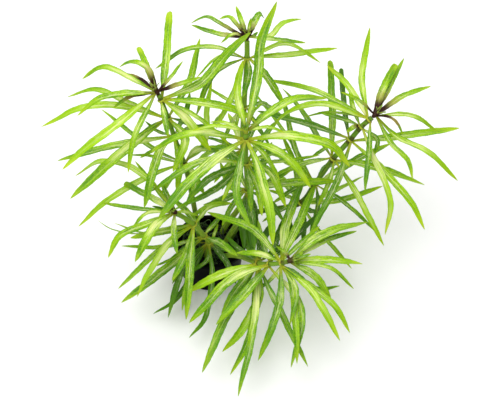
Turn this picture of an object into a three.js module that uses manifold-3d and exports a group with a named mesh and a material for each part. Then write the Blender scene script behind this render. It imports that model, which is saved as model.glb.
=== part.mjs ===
// A bunch of Pogostemon stellatus grown above water: six leafy shoots rooted in a small round pot.
// Millimetres, +Z up, origin at the middle of the pot's underside. The leaves are laid out as they are
// seen from in front and 45 degrees above.

import * as THREE from "three";
import { mergeVertices } from "three/addons/utils/BufferGeometryUtils.js";
import Module from "manifold-3d";

const wasm = await Module();
wasm.setup();

// The pot and what fills it. GAP is the clear space between neighbouring pieces, and HOLE_GAP the one
// round a stem where it leaves the growing medium.
const POT_HEIGHT = 28;
const POT_FOOT_RADIUS = 19.5;
const POT_MOUTH_RADIUS = 22.6;
const POT_WALL = 1.2;
const RIM_RADIUS = 24;
const RIM_HEIGHT = 3;
const MEDIUM_TOP = 25;
const MEDIUM_DOME = 1.6;
const DOME_SHOULDER = { across: 0.7, drop: 0.3 };
const ROOTED_DEPTH = 12;
const GAP = 0.35;
const HOLE_GAP = 1.4;
const POT_SIDES = 28;

// The line of sight in which the leaves are laid out
const SIGHT_ANGLE = Math.PI / 4;
const SIGHT_DISTANCE = 900;
const SIGHT_TARGET = new THREE.Vector3(26.3, 6, 60);
const TARGET_PIXEL = { across: 250, down: 200 };
const PIXEL = 0.65;

// Leaves, stems, the collars round them and the buds at their tops. A leaf's outline is the share of its
// greatest half width at each station, and its upper side is tilted towards the eye.
const ARCHED = { stations: [0, 0.36, 0.74], outline: [0.28, 1.02, 0.9] };
const WINDING = { stations: [0, 0.26, 0.54, 0.8], outline: [0.28, 0.94, 1.08, 0.8] };
const LEAF_KEEL = 0.55;
const LEAF_EDGE = 0.4;
const LEAF_TILT = 0.5;
const BLUNT_END = 0.5;
const STEM_SIDES = 7;
const STEM_STEP = 14;
const STEM_TAPER = 0.82;
const STEM_SAMPLES = 400;
const COLLAR_WALL = 1;
const COLLAR_HEIGHT = 2.2;
const COLLAR_SIDES = 6;
const COLLAR_BITE = 0.4;
const BUD_RADIUS = 1.8;
const BUD_HEIGHT = 5;
const BUD_SIDES = 6;
const BUD_BANDS = 4;
const BUD_BITE = 0.36;

// Points nearer than this are one point, and a facet that stands out less than FINEST is left out
const SAME_POINT = 1e-4;
const FINEST = 0.12;

const LOOKS = {
  pot: { color: 0x0e0f0e, roughness: 0.4 },
  medium: { color: 0x171a10, roughness: 0.9 },
  stem: { color: 0x6f8c2c, roughness: 0.5 },
  leaf: { color: 0x86b92c, roughness: 0.55 },
  crown: { color: 0x8fae3a, roughness: 0.55 },
};

// One row is one leaf: its greatest width in mm, the places that its middle line passes in the line of
// sight, its tip there, and how many mm the tip lies behind (or, below zero, in front of) its node.
// "blunt" marks a leaf whose end is broad. A node is given by its place in the line of sight and by its
// depth, which is how many mm it lies behind the target of the sight.
const SHOOTS = [
  {
    name: "left_shoot",
    radius: 1.9,
    foot: [-7, 2],
    bends: [{ at: [190, 186], depth: 6 }],
    whorls: [
      {
        name: "whorl_4", at: [184, 163], depth: 8,
        leaves: [
          { wide: 4.5, by: [[155, 174], [110, 199]], tip: [78, 227], back: -30 },
          { wide: 2.3, by: [[150, 156]], tip: [128, 155], back: 6 },
          { wide: 3, by: [[152, 148]], tip: [101, 109], back: 46 },
          { wide: 3.8, by: [[204, 145], [207, 110]], tip: [212, 80], back: 62 },
          { wide: 4.5, by: [[196, 150]], tip: [222, 152], back: 20 },
        ],
      },
      {
        name: "whorl_3", at: [174, 136], depth: 10.5,
        leaves: [
          { wide: 5.4, by: [[115, 146]], tip: [57, 161], back: -6 },
          { wide: 5.2, by: [[160, 151]], tip: [144, 208], back: -48 },
          { wide: 2.3, by: [[157, 131]], tip: [145, 121], back: 8 },
        ],
      },
      {
        name: "whorl_2", at: [168, 118], depth: 12,
        leaves: [
          { wide: 4.5, by: [[130, 108], [90, 106]], tip: [41, 127], back: 10 },
          { wide: 6, by: [[140, 138], [110, 163]], tip: [70, 199], back: -42 },
          { wide: 3.8, by: [[130, 104], [98, 90]], tip: [67, 97], back: 18 },
          { wide: 5.2, by: [[185, 140]], tip: [173, 172], back: -24 },
          { wide: 4.5, by: [[190, 80]], tip: [200, 38], back: 60 },
        ],
      },
      {
        name: "whorl_1", at: [161, 100], depth: 13.5,
        leaves: [
          { wide: 6, by: [[200, 84], [230, 51]], tip: [251, 32], back: 24 },
          { wide: 5.2, by: [[205, 103], [240, 112]], tip: [256, 122], back: -2 },
          { wide: 5.2, by: [[183, 116]], tip: [211, 151], back: -18 },
          { wide: 4.8, by: [[166, 60]], tip: [170, 11], back: 50, blunt: true },
          { wide: 3.4, by: [[165, 118]], tip: [168, 137], back: -18 },
          { wide: 3, by: [[200, 119]], tip: [230, 145], back: -16 },
        ],
      },
      {
        name: "crown", at: [157, 92], depth: 14.2,
        leaves: [
          { wide: 3.8, by: [[130, 78], [104, 67]], tip: [82, 79], back: 12 },
          { wide: 4.5, by: [[104, 97]], tip: [77, 116], back: -8 },
          { wide: 3.4, by: [[125, 102]], tip: [113, 108], back: -6 },
          { wide: 5, by: [[120, 122], [80, 153]], tip: [62, 170], back: -44 },
          { wide: 3.4, by: [[142, 120], [132, 145]], tip: [128, 173], back: -40 },
          { wide: 3.8, by: [[145, 62]], tip: [138, 47], back: 30, blunt: true },
          { wide: 3.8, by: [[145, 72]], tip: [120, 67], back: 20 },
          { wide: 2.3, by: [[140, 79]], tip: [124, 73], back: 14 },
          { wide: 2.3, by: [[170, 78]], tip: [183, 61], back: 10 },
          { wide: 3, by: [[180, 84]], tip: [201, 77], back: 8 },
        ],
      },
    ],
  },
  {
    name: "back_shoot",
    radius: 2.1,
    foot: [8, 11],
    bends: [{ at: [249, 190], depth: 19 }],
    whorls: [
      {
        name: "whorl_3", at: [243, 150], depth: 26,
        leaves: [
          { wide: 4.5, by: [[220, 148]], tip: [196, 162], back: 14 },
          { wide: 4.5, by: [[265, 148]], tip: [290, 166], back: 16 },
          { wide: 3.8, by: [[236, 130]], tip: [228, 113], back: 30 },
        ],
      },
      {
        name: "whorl_2", at: [244, 107], depth: 33,
        leaves: [
          { wide: 2.3, by: [[228, 100]], tip: [207, 87], back: 16 },
          { wide: 2, by: [[238, 118]], tip: [236, 130], back: -12 },
          { wide: 4.5, by: [[262, 104]], tip: [285, 118], back: 10 },
          { wide: 3.8, by: [[230, 108]], tip: [208, 132], back: 6 },
        ],
      },
      {
        name: "whorl_1", at: [247, 58], depth: 41,
        leaves: [
          { wide: 3, by: [[215, 47], [185, 50]], tip: [155, 69], back: 8 },
          { wide: 1.6, by: [[222, 55]], tip: [196, 78], back: -6 },
          { wide: 3.8, by: [[215, 73]], tip: [196, 116], back: -20 },
          { wide: 3.8, by: [[235, 90]], tip: [216, 129], back: -30 },
          { wide: 3, by: [[247, 68]], tip: [246, 80], back: -12 },
          { wide: 3.8, by: [[285, 44]], tip: [321, 63], back: 6 },
          { wide: 4.2, by: [[295, 54]], tip: [338, 48], back: 14 },
        ],
      },
      {
        name: "crown", at: [247, 37], depth: 44,
        leaves: [
          { wide: 3, by: [[243, 26]], tip: [236, 6], back: 20 },
          { wide: 4.2, by: [[255, 21], [260, 14]], tip: [264, 18], back: 14 },
          { wide: 2, by: [[249, 28]], tip: [251, 18], back: 4 },
          { wide: 3, by: [[237, 25], [229, 17]], tip: [219, 19], back: 12 },
          { wide: 3, by: [[227, 28], [207, 17]], tip: [191, 23], back: 14 },
          { wide: 3.4, by: [[218, 34]], tip: [191, 25], back: -2 },
          { wide: 2, by: [[233, 34]], tip: [221, 43], back: -4 },
          { wide: 3.8, by: [[269, 37], [284, 23]], tip: [302, 19], back: 18 },
          { wide: 3, by: [[280, 40]], tip: [306, 43], back: -4 },
          { wide: 2, by: [[253, 36]], tip: [258, 32], back: 3 },
        ],
      },
    ],
  },
  {
    name: "right_shoot",
    radius: 2.1,
    foot: [13, 4],
    bends: [{ at: [250, 215], depth: 5 }],
    whorls: [
      {
        name: "whorl_6", at: [300, 203], depth: 8.5,
        leaves: [
          { wide: 3.4, by: [[325, 196]], tip: [364, 176], back: 26 },
          { wide: 3.8, by: [[340, 200]], tip: [383, 186], back: 16 },
          { wide: 3, by: [[318, 230]], tip: [352, 269], back: -34 },
          { wide: 4, by: [[310, 211]], tip: [321, 212], back: -4 },
          { wide: 4.5, by: [[284, 182]], tip: [265, 166], back: 38 },
        ],
      },
      {
        name: "whorl_5", at: [315, 184], depth: 10.5,
        leaves: [
          { wide: 4.5, by: [[358, 159]], tip: [392, 143], back: 38 },
          { wide: 3, by: [[345, 203]], tip: [376, 232], back: -22 },
          { wide: 3.4, by: [[297, 155], [283, 103]], tip: [268, 83], back: 66 },
          { wide: 2.3, by: [[290, 140]], tip: [251, 88], back: 80 },
          { wide: 4.5, by: [[290, 160]], tip: [262, 152], back: 20 },
          { wide: 4.5, by: [[326, 168]], tip: [352, 160], back: 38 },
        ],
      },
      {
        name: "whorl_4", at: [333, 159], depth: 13,
        leaves: [
          { wide: 4.5, by: [[332, 105]], tip: [330, 60], back: 60, blunt: true },
          { wide: 5.2, by: [[370, 166]], tip: [425, 185], back: -4 },
          { wide: 3.8, by: [[353, 188]], tip: [384, 246], back: -40 },
          { wide: 3.8, by: [[316, 134], [298, 106]], tip: [282, 88], back: 50 },
          { wide: 3.8, by: [[300, 165]], tip: [266, 181], back: -8 },
        ],
      },
      {
        name: "whorl_3", at: [350, 140], depth: 16,
        leaves: [
          { wide: 5.2, by: [[395, 137]], tip: [460, 128], back: 14 },
          { wide: 4.2, by: [[378, 165], [412, 204]], tip: [425, 230], back: -44 },
          { wide: 3.4, by: [[344, 105]], tip: [341, 68], back: 54, blunt: true },
          { wide: 5, by: [[310, 125]], tip: [257, 111], back: 24 },
          { wide: 4.4, by: [[337, 182]], tip: [306, 243], back: -50 },
        ],
      },
      {
        name: "whorl_2", at: [361, 127], depth: 19,
        leaves: [
          { wide: 4.2, by: [[372, 155], [390, 200]], tip: [385, 235], back: -54 },
          { wide: 3, by: [[377, 140]], tip: [374, 156], back: -4 },
          { wide: 3, by: [[354, 127]], tip: [347, 132], back: -6 },
        ],
      },
      {
        name: "whorl_1", at: [369, 120], depth: 20.3,
        leaves: [
          { wide: 4, by: [[362, 80]], tip: [370, 27], back: 60 },
          { wide: 3.4, by: [[369, 150]], tip: [365, 192], back: -38 },
          { wide: 3.8, by: [[348, 86]], tip: [327, 65], back: 44 },
          { wide: 3.8, by: [[315, 91]], tip: [264, 79], back: 36 },
          { wide: 5.2, by: [[320, 104], [290, 112]], tip: [268, 130], back: -4 },
          { wide: 1.6, by: [[330, 112]], tip: [304, 117], back: -2 },
        ],
      },
      {
        name: "crown", at: [375, 115], depth: 21.2,
        leaves: [
          { wide: 3.8, by: [[385, 84]], tip: [397, 64], back: 40, blunt: true },
          { wide: 3.2, by: [[390, 84]], tip: [404, 58], back: 48 },
          { wide: 4, by: [[402, 97]], tip: [431, 86], back: 26 },
          { wide: 3, by: [[410, 115]], tip: [438, 132], back: -2 },
          { wide: 1.6, by: [[389, 118], [396, 125]], tip: [403, 135], back: -10 },
          { wide: 2.3, by: [[360, 101]], tip: [341, 92], back: 4 },
          { wide: 4, by: [[398, 138], [425, 150]], tip: [458, 181], back: -26 },
          { wide: 3.2, by: [[391, 143], [408, 161]], tip: [413, 180], back: -34 },
        ],
      },
    ],
  },
  {
    name: "middle_shoot",
    radius: 1.8,
    foot: [9, -2],
    bends: [{ at: [244, 211], depth: -7 }],
    whorls: [
      {
        name: "whorl_3", at: [247, 190], depth: -10,
        leaves: [
          { wide: 4.5, by: [[244, 220]], tip: [243, 248], back: -30 },
          { wide: 4, by: [[253, 222]], tip: [255, 250], back: -34 },
          { wide: 5.2, by: [[290, 183]], tip: [337, 181], back: 12 },
          { wide: 4, by: [[220, 200]], tip: [192, 216], back: 2 },
          { wide: 4.5, by: [[235, 165]], tip: [225, 140], back: 42 },
          { wide: 4.5, by: [[262, 165]], tip: [272, 142], back: 42 },
        ],
      },
      {
        name: "whorl_2", at: [246, 163], depth: -12,
        leaves: [
          { wide: 4.5, by: [[270, 172]], tip: [286, 207], back: -22 },
          { wide: 4.5, by: [[208, 180]], tip: [190, 198], back: -14 },
          { wide: 5.2, by: [[215, 190]], tip: [172, 211], back: -20 },
          { wide: 5.2, by: [[205, 161]], tip: [150, 192], back: -10 },
          { wide: 2.3, by: [[285, 161]], tip: [320, 155], back: 6 },
          { wide: 3.8, by: [[250, 188]], tip: [251, 212], back: -28 },
          { wide: 4, by: [[262, 140]], tip: [280, 118], back: 24 },
        ],
      },
      {
        name: "whorl_1", at: [246, 139], depth: -12,
        leaves: [
          { wide: 5.6, by: [[290, 136], [330, 145]], tip: [350, 167], back: -8 },
          { wide: 5.2, by: [[285, 156]], tip: [311, 188], back: -22 },
          { wide: 4.6, by: [[240, 165], [237, 195]], tip: [251, 228], back: -46 },
          { wide: 6, by: [[257, 165], [270, 215]], tip: [273, 246], back: -56 },
          { wide: 5.2, by: [[205, 133], [175, 138]], tip: [151, 153], back: -4 },
          { wide: 6.6, by: [[215, 160], [190, 182]], tip: [158, 219], back: -40 },
        ],
      },
      {
        name: "crown", at: [246, 131], depth: -12,
        leaves: [
          { wide: 5.6, by: [[258, 75], [260, 45]], tip: [277, 1], back: 56 },
          { wide: 4.5, by: [[237, 90]], tip: [243, 60], back: 36 },
          { wide: 2.3, by: [[253, 112]], tip: [263, 103], back: 20 },
          { wide: 5.8, by: [[290, 101]], tip: [327, 98], back: 28 },
          { wide: 2.3, by: [[268, 127]], tip: [285, 133], back: -4 },
          { wide: 2.3, by: [[226, 123]], tip: [210, 122], back: 8 },
          { wide: 3, by: [[215, 126]], tip: [192, 131], back: 0 },
        ],
      },
    ],
  },
  {
    name: "front_shoot",
    radius: 1.9,
    foot: [9, -13],
    bends: [{ at: [238, 256], depth: -34 }],
    whorls: [
      {
        name: "whorl_3", at: [258, 263], depth: -48,
        leaves: [
          { wide: 5.2, by: [[220, 275]], tip: [187, 292], back: -8 },
          { wide: 4.5, by: [[236, 290]], tip: [221, 317], back: -28 },
          { wide: 5.2, by: [[259, 297], [240, 332]], tip: [222, 352], back: -48 },
          { wide: 4.2, by: [[254, 325]], tip: [238, 397], back: -76 },
          { wide: 4.5, by: [[250, 335]], tip: [230, 375], back: -62 },
          { wide: 5.2, by: [[226, 318]], tip: [202, 373], back: -58 },
          { wide: 3.8, by: [[282, 315]], tip: [308, 367], back: -62 },
          { wide: 4.5, by: [[262, 245]], tip: [270, 224], back: 34 },
        ],
      },
      {
        name: "whorl_2", at: [269, 264], depth: -53.5,
        leaves: [
          { wide: 3.8, by: [[302, 310]], tip: [291, 368], back: -58 },
          { wide: 6, by: [[250, 288]], tip: [216, 325], back: -32 },
          { wide: 6, by: [[235, 275]], tip: [188, 323], back: -26, blunt: true },
        ],
      },
      {
        name: "whorl_1", at: [281, 263], depth: -56,
        leaves: [
          { wide: 5.6, by: [[287, 220]], tip: [304, 178], back: 64 },
          { wide: 3.8, by: [[315, 290], [335, 306]], tip: [350, 333], back: -36 },
          { wide: 4.5, by: [[312, 292]], tip: [340, 341], back: -46 },
          { wide: 3, by: [[318, 289]], tip: [340, 286], back: -8 },
          { wide: 3, by: [[296, 290]], tip: [290, 325], back: -36 },
          { wide: 4.6, by: [[279, 305]], tip: [258, 361], back: -60 },
          { wide: 4.2, by: [[290, 280], [295, 310]], tip: [297, 364], back: -56 },
          { wide: 4.5, by: [[289, 238]], tip: [289, 215], back: 38 },
          { wide: 5, by: [[299, 222]], tip: [316, 183], back: 58 },
          { wide: 2.6, by: [[270, 281]], tip: [253, 292], back: -2 },
          { wide: 3.8, by: [[260, 254]], tip: [236, 253], back: 8 },
          { wide: 4.5, by: [[255, 231]], tip: [207, 212], back: 30 },
        ],
      },
      {
        name: "crown", at: [290, 261], depth: -56.5,
        leaves: [
          { wide: 5, by: [[325, 260]], tip: [363, 264], back: 4 },
          { wide: 2.5, by: [[330, 268]], tip: [354, 289], back: -12 },
          { wide: 5.8, by: [[322, 235]], tip: [368, 222], back: 32 },
          { wide: 3.8, by: [[325, 241]], tip: [357, 231], back: 24 },
          { wide: 2.4, by: [[298, 256]], tip: [303, 252], back: 3 },
          { wide: 2.4, by: [[302, 257]], tip: [311, 254], back: 1 },
          { wide: 4.8, by: [[314, 276]], tip: [331, 299], back: -15 },
          { wide: 2.2, by: [[286, 254]], tip: [276, 246], back: 12 },
        ],
      },
    ],
  },
  {
    name: "front_left_shoot",
    radius: 1.9,
    foot: [-2, -11],
    bends: [],
    whorls: [
      {
        name: "whorl_3", at: [209, 242], depth: -18.5,
        leaves: [
          { wide: 3.8, by: [[211, 290]], tip: [189, 339], back: -56 },
          { wide: 3, by: [[175, 300]], tip: [153, 314], back: -40 },
          { wide: 3, by: [[188, 262], [179, 282]], tip: [168, 318], back: -44 },
          { wide: 3, by: [[191, 264], [186, 285]], tip: [182, 311], back: -40 },
          { wide: 3.8, by: [[196, 229]], tip: [180, 214], back: 20 },
        ],
      },
      {
        name: "whorl_2", at: [204, 236], depth: -20,
        leaves: [
          { wide: 3, by: [[165, 247]], tip: [121, 246], back: 4 },
          { wide: 3, by: [[213, 225]], tip: [222, 215], back: 16 },
          { wide: 4.5, by: [[220, 243]], tip: [238, 256], back: -28 },
          { wide: 5.6, by: [[185, 253], [155, 278]], tip: [121, 303], back: -34 },
          { wide: 2, by: [[180, 255]], tip: [153, 267], back: -12 },
          { wide: 3.8, by: [[190, 215]], tip: [172, 198], back: 30 },
        ],
      },
      {
        name: "whorl_1", at: [194, 224], depth: -24,
        leaves: [
          { wide: 4.5, by: [[210, 207]], tip: [232, 203], back: 4 },
          { wide: 4.5, by: [[188, 250]], tip: [172, 281], back: -32 },
          { wide: 5.2, by: [[190, 265]], tip: [186, 320], back: -54 },
          { wide: 4.5, by: [[165, 231]], tip: [130, 238], back: -2 },
          { wide: 5.2, by: [[172, 240], [152, 268]], tip: [137, 297], back: -40 },
          { wide: 3.4, by: [[153, 256]], tip: [118, 289], back: -32 },
          { wide: 1.5, by: [[145, 233]], tip: [114, 223], back: 2 },
        ],
      },
      {
        name: "crown", at: [175, 212], depth: -27,
        leaves: [
          { wide: 4.2, by: [[150, 197]], tip: [124, 183], back: 22, blunt: true },
          { wide: 3, by: [[155, 187]], tip: [135, 161], back: 42 },
          { wide: 3.8, by: [[140, 173], [105, 161]], tip: [75, 176], back: 34 },
          { wide: 3, by: [[167, 195]], tip: [161, 181], back: 24 },
          { wide: 3, by: [[140, 209]], tip: [102, 203], back: 8 },
          { wide: 2.6, by: [[148, 213]], tip: [130, 231], back: -6 },
          { wide: 4.4, by: [[142, 226], [119, 237]], tip: [108, 258], back: -20 },
          { wide: 5.6, by: [[156, 225]], tip: [135, 262], back: -26 },
          { wide: 3.6, by: [[174, 231]], tip: [177, 254], back: -22 },
          { wide: 2.3, by: [[186, 212]], tip: [198, 216], back: -2 },
        ],
      },
    ],
  },
];

// The line of sight: its directions, and the place where it passes at a depth behind its target
const sightUp = new THREE.Vector3(0, Math.sin(SIGHT_ANGLE), Math.cos(SIGHT_ANGLE));
const towardEye = new THREE.Vector3(0, -Math.cos(SIGHT_ANGLE), Math.sin(SIGHT_ANGLE));
const eye = SIGHT_TARGET.clone().addScaledVector(towardEye, SIGHT_DISTANCE);

function placeInSight([across, down], depth) {
  const ray = SIGHT_TARGET.clone()
    .add(new THREE.Vector3((across - TARGET_PIXEL.across) * PIXEL, 0, 0))
    .addScaledVector(sightUp, (TARGET_PIXEL.down - down) * PIXEL)
    .sub(eye);
  return eye.clone().addScaledVector(ray, (SIGHT_TARGET.y + depth - eye.y) / ray.y);
}

function solidFrom(geometry) {
  const bare = geometry.clone();
  bare.deleteAttribute("normal");
  bare.deleteAttribute("uv");
  const merged = mergeVertices(bare, SAME_POINT);
  return new wasm.Manifold(
    new wasm.Mesh({
      numProp: 3,
      vertProperties: merged.attributes.position.array,
      triVerts: new Uint32Array(merged.index.array),
    }),
  );
}

function geometryFrom(solid) {
  const mesh = solid.getMesh();
  const geometry = new THREE.BufferGeometry();
  geometry.setAttribute("position", new THREE.BufferAttribute(mesh.vertProperties, 3));
  geometry.setIndex(new THREE.BufferAttribute(mesh.triVerts, 1));
  geometry.computeVertexNormals();
  return geometry;
}

function meshOf(name, geometry, look) {
  const mesh = new THREE.Mesh(geometry, new THREE.MeshStandardMaterial({ ...look, metalness: 0 }));
  mesh.name = name;
  return mesh;
}

// A solid from rings of points, each ring anticlockwise as seen from beyond the last one. Its near end
// is flat, and its far end is flat too or comes to a point.
function lofted(rings, tip = null) {
  const sides = rings[0].length;
  const positions = rings.flat().flatMap((point) => [point.x, point.y, point.z]);
  const faces = [];
  for (let ring = 0; ring < rings.length - 1; ring++) {
    for (let side = 0; side < sides; side++) {
      const here = ring * sides + side;
      const beside = ring * sides + ((side + 1) % sides);
      faces.push(here, beside, beside + sides);
      faces.push(here, beside + sides, here + sides);
    }
  }
  const last = (rings.length - 1) * sides;
  for (let side = 1; side < sides - 1; side++) {
    faces.push(0, side + 1, side);
    if (!tip) faces.push(last, last + side, last + side + 1);
  }
  if (tip) {
    positions.push(tip.x, tip.y, tip.z);
    for (let side = 0; side < sides; side++) {
      faces.push(last + side, last + ((side + 1) % sides), last + sides);
    }
  }
  const geometry = new THREE.BufferGeometry();
  geometry.setAttribute("position", new THREE.Float32BufferAttribute(positions, 3));
  geometry.setIndex(faces);
  return geometry;
}

// The middle line of a leaf: from its node through the places of its row to its tip. How far it lies
// behind its node grows evenly with its length in the line of sight.
function leafLine(row, whorl, centre, axis, reach) {
  const seen = [whorl.at, ...row.by, row.tip];
  let length = 0;
  const lengths = seen.map((place, i) => {
    if (i > 0) length += Math.hypot(place[0] - seen[i - 1][0], place[1] - seen[i - 1][1]);
    return length;
  });
  const places = seen.slice(1).map((place, i) => {
    return placeInSight(place, whorl.depth + (row.back * lengths[i + 1]) / length);
  });
  const outward = places[0].clone().sub(centre);
  outward.addScaledVector(axis, -outward.dot(axis)).normalize();
  const start = centre.clone().addScaledVector(outward, reach);
  return new THREE.CatmullRomCurve3([start, ...places], false, "centripetal");
}

// A leaf: a slim blade with a keel along its middle, its upper side turned up and towards the eye
function leafSolid(row, whorl, centre, axis, reach) {
  const line = leafLine(row, whorl, centre, axis, reach);
  const upper = new THREE.Vector3(0, 0, 1).addScaledVector(towardEye, LEAF_TILT);
  const shape = row.by.length > 1 ? WINDING : ARCHED;
  const stations = row.blunt ? [...shape.stations, 1] : shape.stations;
  const outline = row.blunt ? [...shape.outline, BLUNT_END] : shape.outline;
  const rings = stations.map((along, i) => {
    const middle = line.getPointAt(along);
    const forward = line.getTangentAt(along);
    const aside = forward.clone().cross(upper).normalize();
    const above = aside.clone().cross(forward);
    const half = (row.wide / 2) * outline[i];
    const share = (1 + outline[i]) / 2;
    const keel = LEAF_KEEL * share;
    const edge = LEAF_EDGE * share;
    return [
      middle.clone().addScaledVector(aside, half).addScaledVector(above, edge),
      middle.clone().addScaledVector(above, -keel),
      middle.clone().addScaledVector(aside, -half).addScaledVector(above, edge),
    ];
  });
  return solidFrom(lofted(rings, row.blunt ? null : line.getPointAt(1)));
}

// A round or many-sided tube along a line, with a radius that changes along it
function tube(line, radiusAt, sides, steps) {
  const frames = line.computeFrenetFrames(steps, false);
  const rings = [];
  for (let step = 0; step <= steps; step++) {
    const along = step / steps;
    const middle = line.getPointAt(along);
    const ring = [];
    for (let side = 0; side < sides; side++) {
      const turn = (2 * Math.PI * side) / sides;
      ring.push(
        middle
          .clone()
          .addScaledVector(frames.normals[step], radiusAt(along) * Math.cos(turn))
          .addScaledVector(frames.binormals[step], radiusAt(along) * Math.sin(turn)),
      );
    }
    rings.push(ring);
  }
  return lofted(rings);
}

function stemLine(shoot) {
  const foot = new THREE.Vector3(shoot.foot[0], shoot.foot[1], MEDIUM_TOP - ROOTED_DEPTH);
  const ground = new THREE.Vector3(shoot.foot[0], shoot.foot[1], MEDIUM_TOP);
  const above = [...shoot.bends, ...shoot.whorls].map((place) => placeInSight(place.at, place.depth));
  return new THREE.CatmullRomCurve3([foot, ground, ...above], false, "centripetal");
}

// How far along the stem a point lies, from 0 at the foot to 1 at the top
function alongStem(line, point) {
  let best = 0;
  let nearest = Infinity;
  for (let step = 0; step <= STEM_SAMPLES; step++) {
    const along = step / STEM_SAMPLES;
    const distance = line.getPointAt(along).distanceTo(point);
    if (distance < nearest) {
      nearest = distance;
      best = along;
    }
  }
  return best;
}

// The ring in which the leaf bases of a whorl meet, before the stem's passage is taken out of it
function collarSolid(centre, axis, outer) {
  const ring = new THREE.CylinderGeometry(outer, outer, COLLAR_HEIGHT, COLLAR_SIDES);
  const turned = new THREE.Quaternion().setFromUnitVectors(new THREE.Vector3(0, 1, 0), axis);
  ring.applyQuaternion(turned);
  ring.translate(centre.x, centre.y, centre.z);
  return solidFrom(ring);
}

// The closed bud at the top of a shoot, where its youngest leaves meet
function budSolid(centre, axis) {
  const bud = new THREE.SphereGeometry(BUD_RADIUS, BUD_SIDES, BUD_BANDS);
  bud.scale(1, BUD_HEIGHT / (2 * BUD_RADIUS), 1);
  const turned = new THREE.Quaternion().setFromUnitVectors(new THREE.Vector3(0, 1, 0), axis);
  bud.applyQuaternion(turned);
  bud.translate(centre.x, centre.y, centre.z);
  return solidFrom(bud);
}

function makePot() {
  const rimBase = POT_HEIGHT - RIM_HEIGHT;
  const profile = [
    new THREE.Vector2(0, 0),
    new THREE.Vector2(POT_FOOT_RADIUS, 0),
    new THREE.Vector2(POT_MOUTH_RADIUS, rimBase),
    new THREE.Vector2(RIM_RADIUS, rimBase),
    new THREE.Vector2(RIM_RADIUS, POT_HEIGHT),
    new THREE.Vector2(POT_MOUTH_RADIUS - POT_WALL, POT_HEIGHT),
    new THREE.Vector2(POT_FOOT_RADIUS - POT_WALL, POT_WALL),
    new THREE.Vector2(0, POT_WALL),
  ];
  const pot = new THREE.LatheGeometry(profile, POT_SIDES);
  pot.rotateX(Math.PI / 2);
  return solidFrom(pot);
}

function makeMedium(stemHoles) {
  const bottom = POT_WALL + GAP;
  const inside = (height) => {
    const rise = (height - POT_WALL) / (POT_HEIGHT - POT_WALL);
    return POT_FOOT_RADIUS - POT_WALL + rise * (POT_MOUTH_RADIUS - POT_FOOT_RADIUS) - GAP;
  };
  const profile = [
    new THREE.Vector2(0, bottom),
    new THREE.Vector2(inside(bottom), bottom),
    new THREE.Vector2(inside(MEDIUM_TOP - MEDIUM_DOME), MEDIUM_TOP - MEDIUM_DOME),
    new THREE.Vector2(
      inside(MEDIUM_TOP) * DOME_SHOULDER.across,
      MEDIUM_TOP - MEDIUM_DOME * DOME_SHOULDER.drop,
    ),
    new THREE.Vector2(0, MEDIUM_TOP),
  ];
  const plug = new THREE.LatheGeometry(profile, POT_SIDES);
  plug.rotateX(Math.PI / 2);
  let medium = solidFrom(plug);
  for (const hole of stemHoles) medium = medium.subtract(hole);
  return medium;
}

// The hole in the growing medium from which a shoot rises, open at the top
function holeSolid(shoot) {
  const radius = shoot.radius + HOLE_GAP;
  const hole = new THREE.CylinderGeometry(radius, radius, POT_HEIGHT, STEM_SIDES);
  hole.rotateX(Math.PI / 2);
  hole.translate(shoot.foot[0], shoot.foot[1], MEDIUM_TOP - ROOTED_DEPTH - GAP + POT_HEIGHT / 2);
  return solidFrom(hole);
}

const plant = new THREE.Group();
const stemHoles = [];

for (const shoot of SHOOTS) {
  const line = stemLine(shoot);
  const length = line.getLength();
  const steps = Math.ceil(length / STEM_STEP);
  const radiusAt = (along) => shoot.radius * (1 - (1 - STEM_TAPER) * along);

  const top = 1 - (BUD_HEIGHT / 2 + GAP) / length;
  const shown = new THREE.CatmullRomCurve3(
    Array.from({ length: steps + 1 }, (_, step) => line.getPointAt((top * step) / steps)),
  );
  const shownRadius = (along) => radiusAt(along * top);
  const stem = tube(shown, shownRadius, STEM_SIDES, steps);
  const passage = solidFrom(tube(shown, (along) => shownRadius(along) + GAP, STEM_SIDES, steps));
  stemHoles.push(holeSolid(shoot));
  plant.add(meshOf(`${shoot.name}_stem`, stem, LOOKS.stem));

  for (const whorl of shoot.whorls) {
    const isCrown = whorl.name === "crown";
    const centre = placeInSight(whorl.at, whorl.depth);
    const along = alongStem(line, centre);
    const axis = line.getTangentAt(along);
    const outer = radiusAt(along) + GAP + COLLAR_WALL;
    const heart = isCrown ? budSolid(centre, axis) : collarSolid(centre, axis, outer);
    const reach = isCrown ? BUD_RADIUS - BUD_BITE : outer - COLLAR_BITE;
    const leaves = whorl.leaves.map((row) => leafSolid(row, whorl, centre, axis, reach));
    const joined = wasm.Manifold.union([heart, ...leaves]).subtract(passage).simplify(FINEST);
    const look = isCrown ? LOOKS.crown : LOOKS.leaf;
    plant.add(meshOf(`${shoot.name}_${whorl.name}`, geometryFrom(joined), look));
  }
}

plant.add(meshOf("pot", geometryFrom(makePot()), LOOKS.pot));
plant.add(meshOf("growing_medium", geometryFrom(makeMedium(stemHoles)), LOOKS.medium));

export default plant;
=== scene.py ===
# A bunch of Pogostemon stellatus in a small pot: the finished leaves, stems, pot and growing medium
# around the solids of the frame. Worked in millimetres, written to the meshes in metres.
import bpy
import math
import numpy as np
from functools import partial, partialmethod
from mathutils import Matrix, Vector


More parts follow.
